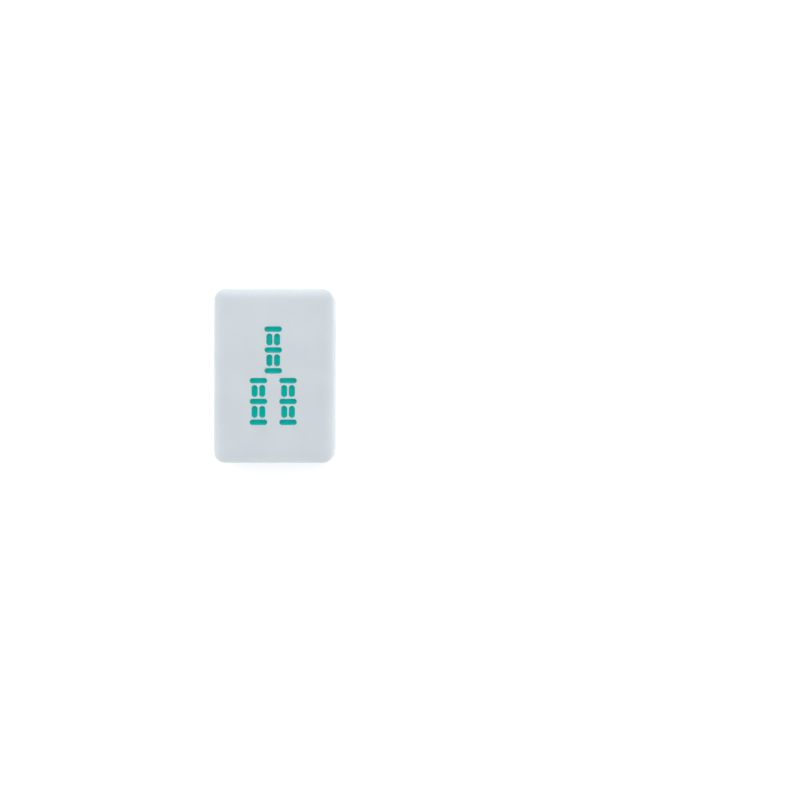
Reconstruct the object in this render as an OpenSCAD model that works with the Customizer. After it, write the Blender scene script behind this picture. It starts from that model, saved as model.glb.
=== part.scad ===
// Mahjong tile lying on its back, face up: one moulded body with an engraved face,
// and the enamel that fills each engraved slot.
// Sizes are millimetres. The origin is the centre of the back face, +Z points out
// of the face, and +Y points to the head of the face.

/* [Tile body] */
// Width of the tile, side to side
tile_width = 22; // [18:0.5:30]
// Height of the tile, foot to head
tile_height = 32; // [26:0.5:44]
// Thickness of the tile, back to face
tile_thickness = 9.6; // [7:0.1:22]
// Radius of the four upright corners, seen from the face
corner_radius = 2; // [1.8:0.1:4]
// Radius of the rolled edges round the face and round the back
edge_radius = 1.5; // [0.3:0.1:1.7]

/* [Engraved slots] */
// Depth of every slot below the face
slot_depth = 0.6; // [0.5:0.05:1.5]
// Bare land left between neighbouring slots of one stick
slot_land = 0.3; // [0.15:0.05:0.4]
// Width of a knob, across the stick
knob_width = 3.2; // [2.4:0.1:4]
// Height of a knob, along the stick
knob_height = 1; // [0.8:0.1:1.3]
// Length of a cane, along the stick
cane_length = 2.2; // [1.3:0.1:2.5]
// Width of a cane, across the stick
cane_width = 1.1; // [0.8:0.05:1.25]

/* [Layout of the three sticks] */
// Bare face between the upper stick and the lower pair
row_gap = 0.8; // [0.3:0.1:1.2]
// Bare face between the two lower sticks
pair_gap = 2.2; // [0.4:0.1:5]

/* [Enamel] */
// Drop from the face to the enamel's rim
enamel_rim_drop = 0.05; // [0.02:0.01:0.1]
// Thickness of the enamel's rim where it wets the wall of its slot
enamel_rim = 0.05; // [0.03:0.01:0.05]
// Depth of the hollow in the enamel, rim to floor
hollow_depth = 0.36; // [0.1:0.02:0.36]
// Width of the hollow's sloping flank, rim to floor, seen from the face
flank_width = 0.17; // [0.05:0.01:0.25]

/* [Hidden] */
$fn = 64;
// Room added to a cutting tool beyond the face that it cuts
overcut = 1;

body_colour = "#d0d7dd";
enamel_colour = "#03a69e";

// A stick has three knobs, one above the other, with a pair of canes between each two
cane_pitch = cane_length + 2 * slot_land + knob_height;
stick_height = 3 * knob_height + 2 * cane_length + 4 * slot_land;
stick_width = max(knob_width, 2 * cane_width + slot_land);
cane_x = (cane_width + slot_land) / 2;
cane_y = cane_pitch / 2;

// One stick stands above a pair, and the group is centred on the face
row_y = (stick_height + row_gap) / 2;
pair_x = (stick_width + pair_gap) / 2;
STICKS = [
    ["upper", [0, row_y]],
    ["left", [-pair_x, -row_y]],
    ["right", [pair_x, -row_y]],
];

// Each slot is one straight pass of a round cutter: name, centre, length, width, turn
SLOTS = [
    ["top_knob", [0, cane_pitch], knob_width, knob_height, 0],
    ["middle_knob", [0, 0], knob_width, knob_height, 0],
    ["bottom_knob", [0, -cane_pitch], knob_width, knob_height, 0],
    ["upper_left_cane", [-cane_x, cane_y], cane_length, cane_width, 90],
    ["upper_right_cane", [cane_x, cane_y], cane_length, cane_width, 90],
    ["lower_left_cane", [-cane_x, -cane_y], cane_length, cane_width, 90],
    ["lower_right_cane", [cane_x, -cane_y], cane_length, cane_width, 90],
];

function enamel_name(stick, slot) = str(stick[0], "_stick_", slot[0], "_enamel");

// Moves a slot's own frame, long axis on X, to its place on the face
module at_slot(stick, slot) {
    translate([stick[1][0] + slot[1][0], stick[1][1] + slot[1][1], tile_thickness])
        rotate([0, 0, slot[4]])
            children();
}

// Outline of a slot: a straight run with a half circle at each end
module slot_outline(slot) {
    run = slot[2] - slot[3];
    square([run, slot[3]], center = true);
    for (end = [-1, 1])
        translate([end * run / 2, 0])
            circle(d = slot[3]);
}

// Cross-section of the tile from back to face, with its rolled edges
module section(across) {
    translate([-across / 2, edge_radius])
        square([across, tile_thickness - 2 * edge_radius]);
    translate([-across / 2 + edge_radius, 0])
        square([across - 2 * edge_radius, tile_thickness]);
    for (side = [-1, 1], y = [edge_radius, tile_thickness - edge_radius])
        translate([side * (across / 2 - edge_radius), y])
            circle(r = edge_radius);
}

// Straight block along Y, as wide as the tile
module block_along() {
    rotate([90, 0, 0])
        linear_extrude(height = tile_height - 2 * corner_radius, center = true)
            section(tile_width);
}

// Straight block along X, as high as the tile
module block_across() {
    rotate([90, 0, 90])
        linear_extrude(height = tile_width - 2 * corner_radius, center = true)
            section(tile_height);
}

// Upright corner: half of a section, turned round the corner's own axis
module corner_post() {
    rotate_extrude()
        intersection() {
            section(2 * corner_radius);
            square([corner_radius, tile_thickness]);
        }
}

// Blank tile with every edge and corner rounded
module blank() {
    block_along();
    block_across();
    for (x = [-1, 1], y = [-1, 1])
        translate([x * (tile_width / 2 - corner_radius), y * (tile_height / 2 - corner_radius), 0])
            corner_post();
}

// Tile body: the blank with its slots cut into the face
module tile_body() {
    color(body_colour)
        difference() {
            blank();
            for (stick = STICKS, slot = SLOTS)
                at_slot(stick, slot)
                    translate([0, 0, -slot_depth])
                        linear_extrude(height = slot_depth + overcut)
                            slot_outline(slot);
        }
}

// Hollow that the drying enamel leaves along a slot: a flat floor between sloping flanks,
// with a cone at each end. The flanks run on past the rim, so that the cut leaves no skin.
module enamel_hollow(slot) {
    run = slot[2] - slot[3];
    floor_half = slot[3] / 2 - enamel_rim - flank_width;
    rise = hollow_depth + overcut;
    mouth_half = floor_half + rise * flank_width / hollow_depth;
    translate([0, 0, -enamel_rim_drop - hollow_depth]) {
        rotate([90, 0, 90])
            linear_extrude(height = run, center = true)
                polygon([[-floor_half, 0], [floor_half, 0], [mouth_half, rise], [-mouth_half, rise]]);
        for (end = [-1, 1])
            translate([end * run / 2, 0, 0])
                cylinder(h = rise, r1 = floor_half, r2 = mouth_half);
    }
}

// Enamel in one slot: it fills the slot's floor and creeps up its wall
module enamel(stick, slot) {
    color(enamel_colour)
        at_slot(stick, slot)
            difference() {
                translate([0, 0, -slot_depth])
                    linear_extrude(height = slot_depth - enamel_rim_drop)
                        slot_outline(slot);
                enamel_hollow(slot);
            }
}

tile_body();
for (stick = STICKS, slot = SLOTS)
    enamel(stick, slot);
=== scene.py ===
"""Mahjong tile lying face up: a satin melamine block with teal enamel in its engraved face.

Lengths are millimetres until a mesh, light or camera is made, which turns them into metres.
"""
import math

import bmesh
import bpy
import numpy as np
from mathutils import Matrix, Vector


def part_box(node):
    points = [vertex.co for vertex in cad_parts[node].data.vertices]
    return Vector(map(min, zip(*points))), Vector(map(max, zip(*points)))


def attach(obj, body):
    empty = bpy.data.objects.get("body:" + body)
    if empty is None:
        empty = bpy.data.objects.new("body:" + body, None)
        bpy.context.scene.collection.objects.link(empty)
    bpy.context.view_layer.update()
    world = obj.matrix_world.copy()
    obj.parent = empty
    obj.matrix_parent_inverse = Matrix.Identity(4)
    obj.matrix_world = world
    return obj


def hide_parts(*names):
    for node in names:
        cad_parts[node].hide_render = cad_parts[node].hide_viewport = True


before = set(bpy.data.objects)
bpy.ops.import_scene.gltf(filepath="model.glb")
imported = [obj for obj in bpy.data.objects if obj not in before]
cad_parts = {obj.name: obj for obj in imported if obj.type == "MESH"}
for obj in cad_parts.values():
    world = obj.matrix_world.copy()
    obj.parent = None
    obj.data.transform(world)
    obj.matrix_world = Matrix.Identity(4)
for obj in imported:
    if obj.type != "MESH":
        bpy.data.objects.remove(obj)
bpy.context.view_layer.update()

MM = 0.001

# The tile and its slots, from the frame
TILE_LOW, TILE_HIGH = (np.array(corner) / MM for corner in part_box("tile_body"))
TILE_HALF = (TILE_HIGH - TILE_LOW)[:2] / 2
BACK_Z, FACE_Z = TILE_LOW[2], TILE_HIGH[2]
ENAMEL_NODES = sorted(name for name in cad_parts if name.endswith("_enamel"))

# Shape of the block: its upright corners, and the roll of its edges along the flat and down the wall
CORNER_RADIUS = 2.0
ROLL_REACH = 2.8
ROLL_DROP = 2.0

# Shape of an engraved slot: its rounded lip, the collar of flat face round that, and the fillet at its floor
LIP_RADIUS = 0.05
COLLAR = 0.03
FLOOR_FILLET = 0.15

# Shape of the enamel: where on the lip's turn its rim lies, and the hollow's depth below the face, its flank
# and the fillet between flank and floor
RIM_TURN = math.radians(50)
HOLLOW_DROP = 0.41
FLANK_TILT = math.radians(65)
FLANK_FILLET = 0.1

# Ripples in the hollow: their height at the middle line, and their length across and along the tile
RIPPLE_HEIGHT = 0.012
RIPPLE_LENGTH = (0.9, 1.3)

# Steps of the grids: round a corner and along a side of an outline, then over the stretches of a profile
TILE_STEPS = (24, 24)
SLOT_STEPS = (12, 10)
ROLL_STEPS = 28
BEND_STEPS = 6
FLANK_STEPS = 4
HOLLOW_STEPS = 6

# Points nearer than this are one point, and faces that meet at more than this angle keep a sharp edge
WELD = 1e-4
SHARP_ANGLE = math.radians(50)

# Moulded melamine: the tones and size of its clouds, the size, roughness and height of its uneven satin, and
# how deep light soaks in, with the share of that for red, green and blue. A noise's detail is how many finer
# layers it has, and its fineness is how much each of them weighs against the one before
MELAMINE_TONES = ("cad1d7", "d6dce0")
MELAMINE_IOR = 1.68
CLOUD_SIZE = 7.0
CLOUD_DETAIL = 5.0
CLOUD_FINENESS = 0.65
SATIN_SIZE = 4.0
SATIN_DETAIL = 2.0
SATIN_ROUGHNESS = (0.25, 0.45)
SATIN_HEIGHT = 0.01
SOAK_DEPTH = 0.4
SOAK_SHARES = (0.8, 0.9, 1.0)

# Teal enamel: its tones and the size of their drift, and the size, roughness and height of its dried film,
# with the range of the film's noise that spans the roughness
ENAMEL_TONES = ("03afa8", "05bcb4")
ENAMEL_IOR = 1.5
DRIFT_SIZE = 1.5
DRIFT_DETAIL = 2.0
FILM_SIZE = 0.6
FILM_DETAIL = 3.0
FILM_RANGE = (0.3, 0.7)
FILM_ROUGHNESS = (0.04, 0.14)
FILM_HEIGHT = 0.006

# Colour of what glows: the tent, and the paper where it shows
WHITE = (1.0, 1.0, 1.0, 1.0)

# The paper under the tile, with its glow and half its side
PAPER_TONE = "f2f2f2"
PAPER_ROUGHNESS = 0.9
PAPER_GLOW = 0.32
PAPER_HALF = 2000.0

# The light tent: its level to the foot and to the head, the upward shares of a direction between which its
# cloth gives way to the opening overhead, and the level in that opening
TENT_LEVEL = (1.19, 1.35)
TENT_OPENING = (0.66, 0.985)
TENT_OPENING_LEVEL = 0.05

# The softbox beyond the head, with its power in watts
SOFTBOX_PLACE = (0.0, 410.0, 540.0)
SOFTBOX_SIZE = 760.0
SOFTBOX_POWER = 1.63

# The photograph's camera: straight down, with the face's centre at this pixel
IMAGE_SIZE = 800
FACE_CENTRE_PIXEL = (273.2, 375.75)
LENS = 60.0
SENSOR = 36.0
CAMERA_HEIGHT = 253.0
CLIP_START = 10.0

# The Mix node's colour sockets share their names with its other kinds, so they go by number
FIRST_COLOUR = 6
SECOND_COLOUR = 7
MIXED_COLOUR = 2


def ring_steps(corner_steps, side_steps):
    """One anticlockwise trip round a rounded rectangle.

    Each step has an outward angle and the place, from -1 to 1 on both axes, of the corner centre that it
    turns about. Along a side the angle stands still while the place slides from one corner to the next.
    """
    corners = np.array([(1, -1), (1, 1), (-1, 1), (-1, -1)], float)
    slide = np.linspace(0, 1, side_steps + 2)[1:-1, None]
    turn = np.linspace(0, np.pi / 2, corner_steps + 1)
    angles, places = [], []
    for quarter, (start, stop) in enumerate(zip(corners, np.roll(corners, -1, axis=0))):
        square_on = quarter * np.pi / 2
        angles += [np.full(side_steps, square_on), square_on + turn]
        places += [start + slide * (stop - start), np.tile(stop, (corner_steps + 1, 1))]
    return np.concatenate(angles), np.concatenate(places)


def carry(half_size, inset, radius, height, steps):
    """A profile carried round a rounded rectangle, as a grid of profile points by steps.

    Every profile point draws the rectangle drawn in by its own inset, with its own corner radius and at its
    own height: a corner centre in its place, plus the radius times the outward direction.
    """
    angle, place = ring_steps(*steps)
    inset, radius, height = (np.asarray(values, float)[:, None] for values in (inset, radius, height))
    x = place[:, 0] * (half_size[0] - inset - radius) + radius * np.cos(angle)
    y = place[:, 1] * (half_size[1] - inset - radius) + radius * np.sin(angle)
    return np.stack([x, y, np.broadcast_to(height, x.shape)], axis=-1)


def grid_faces(grid, first=0):
    """Quads between neighbouring rings of a closed grid whose points are numbered from first."""
    rows, columns = grid.shape[:2]
    row, column = np.mgrid[0:rows - 1, 0:columns]
    after = (column + 1) % columns
    corners = [row * columns + column, row * columns + after,
               (row + 1) * columns + after, (row + 1) * columns + column]
    return (first + np.stack(corners, axis=-1)).reshape(-1, 4).tolist()


def roll_profile():
    """Rolled edge from the flat to the upright wall, as reach along the flat and drop down the wall.

    The tilt turns through a right angle while its curvature swells and fades as a raised cosine, so the flat
    runs into the edge with no line between them. The point is the running sum of the tilt's cosine and sine,
    drawn out to the roll's reach and drop.
    """
    along = np.linspace(0, 1, ROLL_STEPS + 1)
    tilt = np.pi / 2 * (along - np.sin(2 * np.pi * along) / (2 * np.pi))
    middle = (tilt[1:] + tilt[:-1]) / 2
    reach = np.concatenate([[0], np.cumsum(np.cos(middle))])
    drop = np.concatenate([[0], np.cumsum(np.sin(middle))])
    return reach * ROLL_REACH / reach[-1], drop * ROLL_DROP / drop[-1]


def block_grid():
    """Surface of the block without its flats: back edge, wall and face edge carried round the outline.

    Drawing in shrinks a corner from its own radius towards a point that it never reaches.
    """
    reach, drop = roll_profile()
    inset = np.concatenate([ROLL_REACH - reach, (ROLL_REACH - reach)[::-1]])
    height = np.concatenate([BACK_Z + drop, FACE_Z - drop[::-1]])
    radius = CORNER_RADIUS * (1 - inset / (2 * CORNER_RADIUS)) ** 2
    return carry(TILE_HALF, inset, radius, height, TILE_STEPS)


def bend_turn():
    """Angles of the steps over a quarter bend."""
    return np.linspace(0, np.pi / 2, BEND_STEPS + 1)


def slot_of(node):
    """Middle, half sizes, end radius and floor height of the slot that an enamel node fills."""
    low, high = (np.array(corner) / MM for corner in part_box(node))
    half_size = (high - low)[:2] / 2
    return (low + high)[:2] / 2, half_size, half_size.min(), low[2]


def slot_profile(radius, floor_z):
    """Section of a slot from its collar on the face to its middle line, as inset and height.

    A quarter circle rounds the lip outwards, the wall drops straight, and a second quarter circle runs it
    into the flat floor.
    """
    turn = bend_turn()
    lip_inset = LIP_RADIUS * (np.sin(turn) - 1)
    lip_height = FACE_Z - LIP_RADIUS * (1 - np.cos(turn))
    foot_inset = FLOOR_FILLET * (1 - np.cos(turn))
    foot_height = floor_z + FLOOR_FILLET * (1 - np.sin(turn))
    inset = np.concatenate([[-LIP_RADIUS - COLLAR], lip_inset, foot_inset, [radius]])
    height = np.concatenate([[FACE_Z], lip_height, foot_height, [floor_z]])
    return inset, height


def slot_grid(node):
    """Surface of one slot: its profile carried round its outline."""
    middle, half_size, radius, floor_z = slot_of(node)
    inset, height = slot_profile(radius, floor_z)
    grid = carry(half_size, inset, radius - inset, height, SLOT_STEPS)
    grid[..., :2] += middle
    return grid


def hollow_profile(rim_inset, rim_height, radius):
    """Section of the hollow in the enamel from below its rim to its middle line, as inset and height.

    A straight flank falls from the rim at the flank's tilt, an arc turns it level, and the floor is flat.
    """
    tilt = np.linspace(FLANK_TILT, 0, BEND_STEPS + 1)
    arc_inset = FLANK_FILLET * (np.sin(FLANK_TILT) - np.sin(tilt))
    arc_height = FACE_Z - HOLLOW_DROP + FLANK_FILLET * (1 - np.cos(tilt))
    arc_inset += rim_inset + (rim_height - arc_height[0]) / np.tan(FLANK_TILT)
    flank = np.linspace(0, 1, FLANK_STEPS + 1)[1:-1]
    level = np.linspace(0, 1, HOLLOW_STEPS + 1)[1:]
    inset = np.concatenate([rim_inset + flank * (arc_inset[0] - rim_inset), arc_inset,
                            arc_inset[-1] + level * (radius - arc_inset[-1])])
    height = np.concatenate([rim_height + flank * (arc_height[0] - rim_height), arc_height,
                             np.full(HOLLOW_STEPS, arc_height[-1])])
    return inset, height


def enamel_grid(node):
    """Surface of the enamel in one slot: the slot's own floor and wall up to a rim on its lip, then a hollow.

    The wiping leaves slow crossed sine waves in the hollow that die away towards the rim.
    """
    middle, half_size, radius, floor_z = slot_of(node)
    inset, height = slot_profile(radius, floor_z)
    # The slot's profile has the collar in row 0, and its lip begins in row 1
    rim = 1 + np.searchsorted(bend_turn(), RIM_TURN)
    hollow_inset, hollow_height = hollow_profile(inset[rim], height[rim], radius)
    inward = (hollow_inset - inset[rim]) / (radius - inset[rim])
    bed_rows = len(inset) - rim
    inset = np.concatenate([inset[rim:][::-1], hollow_inset])
    height = np.concatenate([height[rim:][::-1], hollow_height])
    grid = carry(half_size, inset, radius - inset, height, SLOT_STEPS)
    grid[..., :2] += middle
    waves = np.sin(2 * np.pi * grid[bed_rows:, :, :2] / RIPPLE_LENGTH).prod(axis=-1)
    grid[bed_rows:, :, 2] += RIPPLE_HEIGHT * waves * inward[:, None]
    return grid


def add_object(name, data):
    """Puts a mesh, light or camera into the scene as an object."""
    made = bpy.data.objects.new(name, data)
    bpy.context.scene.collection.objects.link(made)
    return made


def add_piece(name, points, faces, material, fill=False):
    """Makes a welded, smooth mesh piece, filling its open rims with triangles where asked."""
    mesh = bpy.data.meshes.new(name)
    mesh.from_pydata((points * MM).tolist(), [], faces)
    shape = bmesh.new()
    shape.from_mesh(mesh)
    bmesh.ops.remove_doubles(shape, verts=shape.verts, dist=WELD * MM)
    if fill:
        rims = [edge for edge in shape.edges if edge.is_boundary]
        bmesh.ops.triangle_fill(shape, edges=rims, use_beauty=True, normal=(0, 0, 1))
    bmesh.ops.recalc_face_normals(shape, faces=shape.faces)
    shape.to_mesh(mesh)
    shape.free()
    mesh.shade_smooth()
    mesh.set_sharp_from_angle(angle=SHARP_ANGLE)
    mesh.materials.append(material)
    return add_object(name, mesh)


def srgb(code):
    """Linear colour of an sRGB hex value."""
    values = np.array([int(code[i:i + 2], 16) for i in (0, 2, 4)]) / 255
    linear = np.where(values <= 0.04045, values / 12.92, ((values + 0.055) / 1.055) ** 2.4)
    return (*linear.tolist(), 1.0)


def per_mm(size):
    """Texture scale on Object coordinates at which one feature is this many millimetres."""
    return 1 / (size * MM)


def add_node(tree, kind, inputs=None, **settings):
    """Adds a shader node: settings are its properties, inputs are values to set or sockets to link."""
    made = tree.nodes.new("ShaderNode" + kind)
    for name, value in settings.items():
        setattr(made, name, value)
    for name, value in (inputs or {}).items():
        if isinstance(value, bpy.types.NodeSocket):
            tree.links.new(value, made.inputs[name])
        else:
            made.inputs[name].default_value = value
    return made


def new_material(name):
    """An empty node material and its tree."""
    material = bpy.data.materials.new(name)
    material.use_nodes = True
    material.node_tree.nodes.clear()
    return material, material.node_tree


def moulded_melamine():
    """Melamine moulding compound, pressed and tumbled to a satin.

    Light soaks into its skin and softens the edges, the satin is not quite even, and the pulp in the resin
    clouds it a little. The fibres are too fine to show, so they are drawn as clouds of some millimetres.
    """
    material, tree = new_material("moulded_melamine")
    place = add_node(tree, "TexCoord").outputs["Object"]
    cloud = add_node(tree, "TexNoise", {
        "Vector": place, "Scale": per_mm(CLOUD_SIZE), "Detail": CLOUD_DETAIL, "Roughness": CLOUD_FINENESS})
    colour = add_node(tree, "Mix", {
        "Factor": cloud.outputs["Fac"], FIRST_COLOUR: srgb(MELAMINE_TONES[0]),
        SECOND_COLOUR: srgb(MELAMINE_TONES[1])}, data_type="RGBA")
    satin = add_node(tree, "TexNoise", {"Vector": place, "Scale": per_mm(SATIN_SIZE), "Detail": SATIN_DETAIL})
    roughness = add_node(tree, "MapRange", {
        "Value": satin.outputs["Fac"], "To Min": SATIN_ROUGHNESS[0], "To Max": SATIN_ROUGHNESS[1]})
    bump = add_node(tree, "Bump", {
        "Height": satin.outputs["Fac"], "Distance": SATIN_HEIGHT * MM, "Strength": 1.0})
    shader = add_node(tree, "BsdfPrincipled", {
        "Base Color": colour.outputs[MIXED_COLOUR], "Roughness": roughness.outputs["Result"],
        "IOR": MELAMINE_IOR, "Subsurface Weight": 1.0, "Subsurface Radius": SOAK_SHARES,
        "Subsurface Scale": SOAK_DEPTH * MM, "Normal": bump.outputs["Normal"]})
    add_node(tree, "OutputMaterial", {"Surface": shader.outputs["BSDF"]})
    return material


def teal_enamel():
    """Air-dried enamel, wiped into the slots and left glossy.

    Its tone drifts a little at random, and its dried film wavers, which breaks up the gloss.
    """
    material, tree = new_material("teal_enamel")
    place = add_node(tree, "TexCoord").outputs["Object"]
    drift = add_node(tree, "TexNoise", {"Vector": place, "Scale": per_mm(DRIFT_SIZE), "Detail": DRIFT_DETAIL})
    colour = add_node(tree, "Mix", {
        "Factor": drift.outputs["Fac"], FIRST_COLOUR: srgb(ENAMEL_TONES[0]),
        SECOND_COLOUR: srgb(ENAMEL_TONES[1])}, data_type="RGBA")
    film = add_node(tree, "TexNoise", {"Vector": place, "Scale": per_mm(FILM_SIZE), "Detail": FILM_DETAIL})
    roughness = add_node(tree, "MapRange", {
        "Value": film.outputs["Fac"], "From Min": FILM_RANGE[0], "From Max": FILM_RANGE[1],
        "To Min": FILM_ROUGHNESS[0], "To Max": FILM_ROUGHNESS[1]})
    bump = add_node(tree, "Bump", {
        "Height": film.outputs["Fac"], "Distance": FILM_HEIGHT * MM, "Strength": 1.0})
    shader = add_node(tree, "BsdfPrincipled", {
        "Base Color": colour.outputs[MIXED_COLOUR], "Roughness": roughness.outputs["Result"],
        "IOR": ENAMEL_IOR, "Normal": bump.outputs["Normal"]})
    add_node(tree, "OutputMaterial", {"Surface": shader.outputs["BSDF"]})
    return material


def shown_ray(tree):
    """Socket that is 1 for rays that show a surface, in the picture, in gloss or in glass, and else 0."""
    path = add_node(tree, "LightPath").outputs
    seen = add_node(tree, "Math", {0: path["Is Camera Ray"], 1: path["Is Glossy Ray"]}, operation="MAXIMUM")
    shown = add_node(tree, "Math", {
        0: seen.outputs["Value"], 1: path["Is Transmission Ray"]}, operation="MAXIMUM")
    return shown.outputs["Value"]


def white_paper():
    """Matt white paper: lit as paper is, with a little glow where it shows, so that it stays white."""
    material, tree = new_material("white_paper")
    glow = add_node(tree, "Math", {0: shown_ray(tree), 1: PAPER_GLOW}, operation="MULTIPLY")
    shader = add_node(tree, "BsdfPrincipled", {
        "Base Color": srgb(PAPER_TONE), "Roughness": PAPER_ROUGHNESS, "Specular IOR Level": 0.0,
        "Emission Color": WHITE, "Emission Strength": glow.outputs["Value"]})
    add_node(tree, "OutputMaterial", {"Surface": shader.outputs["BSDF"]})
    return material


def light_tent():
    """A white tent with a dim opening overhead, where the camera looks in.

    It shows white, and it lights the tile at the level of its cloth, which grows from the foot to the head.
    """
    world = bpy.data.worlds.new("light_tent")
    world.use_nodes = True
    tree = world.node_tree
    tree.nodes.clear()
    way = add_node(tree, "SeparateXYZ", {"Vector": add_node(tree, "TexCoord").outputs["Generated"]})
    cloth = add_node(tree, "MapRange", {
        "Value": way.outputs["Z"], "From Min": TENT_OPENING[0], "From Max": TENT_OPENING[1],
        "To Min": 1.0, "To Max": TENT_OPENING_LEVEL}, interpolation_type="SMOOTHSTEP")
    lit = add_node(tree, "MapRange", {
        "Value": way.outputs["Y"], "From Min": -1.0, "To Min": TENT_LEVEL[0], "To Max": TENT_LEVEL[1]})
    level = add_node(tree, "Mix", {"Factor": shown_ray(tree), "A": lit.outputs["Result"], "B": 1.0})
    strength = add_node(tree, "Math", {
        0: cloth.outputs["Result"], 1: level.outputs["Result"]}, operation="MULTIPLY")
    shader = add_node(tree, "Background", {"Color": WHITE, "Strength": strength.outputs["Value"]})
    add_node(tree, "OutputWorld", {"Surface": shader.outputs["Background"]})
    bpy.context.scene.world = world


def add_head_softbox():
    """A large square softbox beyond the head, turned to the tile."""
    light = bpy.data.lights.new("head_softbox", "AREA")
    light.size = SOFTBOX_SIZE * MM
    light.energy = SOFTBOX_POWER
    softbox = add_object("head_softbox", light)
    softbox.location = Vector(SOFTBOX_PLACE) * MM
    softbox.rotation_euler = (-softbox.location).to_track_quat("-Z", "Y").to_euler()


def add_camera():
    """The photograph's camera, set so that the face's centre lands on its pixel."""
    camera = add_object("camera", bpy.data.cameras.new("camera"))
    camera.data.lens = LENS
    camera.data.sensor_width = SENSOR
    camera.data.clip_start = CLIP_START * MM
    mm_per_pixel = (CAMERA_HEIGHT - FACE_Z) * SENSOR / LENS / IMAGE_SIZE
    right = (IMAGE_SIZE / 2 - FACE_CENTRE_PIXEL[0]) * mm_per_pixel
    up = (FACE_CENTRE_PIXEL[1] - IMAGE_SIZE / 2) * mm_per_pixel
    camera.location = Vector((right, up, CAMERA_HEIGHT)) * MM
    bpy.context.scene.camera = camera


def build_stage():
    """White paper under the tile, out to where every view ends."""
    corners = PAPER_HALF * MM * np.array([(-1, -1, 0), (1, -1, 0), (1, 1, 0), (-1, 1, 0)])
    mesh = bpy.data.meshes.new("paper")
    mesh.from_pydata(corners.tolist(), [], [[0, 1, 2, 3]])
    mesh.materials.append(white_paper())
    add_object("paper", mesh)


def build_body(material):
    """The tile body: the block's edges and wall, its flat back, every slot, and the face between them."""
    block = block_grid()
    grids = [block] + [slot_grid(node) for node in ENAMEL_NODES]
    starts = np.cumsum([0] + [grid[..., 0].size for grid in grids])
    # The block's first ring, taken the other way round, is the rim of the flat back
    faces = [list(range(block.shape[1]))[::-1]]
    for grid, first in zip(grids, starts):
        faces += grid_faces(grid, first)
    points = np.concatenate([grid.reshape(-1, 3) for grid in grids])
    body = add_piece("polished_tile_body", points, faces, material, fill=True)
    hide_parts("tile_body")
    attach(body, "root")


def build_enamel(node, material):
    """The enamel in one slot, as a closed piece of its own."""
    grid = enamel_grid(node)
    piece = add_piece(node + "_fill", grid.reshape(-1, 3), grid_faces(grid), material)
    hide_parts(node)
    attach(piece, "root")


bpy.context.scene.view_settings.view_transform = "Standard"
add_camera()
light_tent()
add_head_softbox()
build_stage()
build_body(moulded_melamine())
enamel = teal_enamel()
for enamel_node in ENAMEL_NODES:
    build_enamel(enamel_node, enamel)
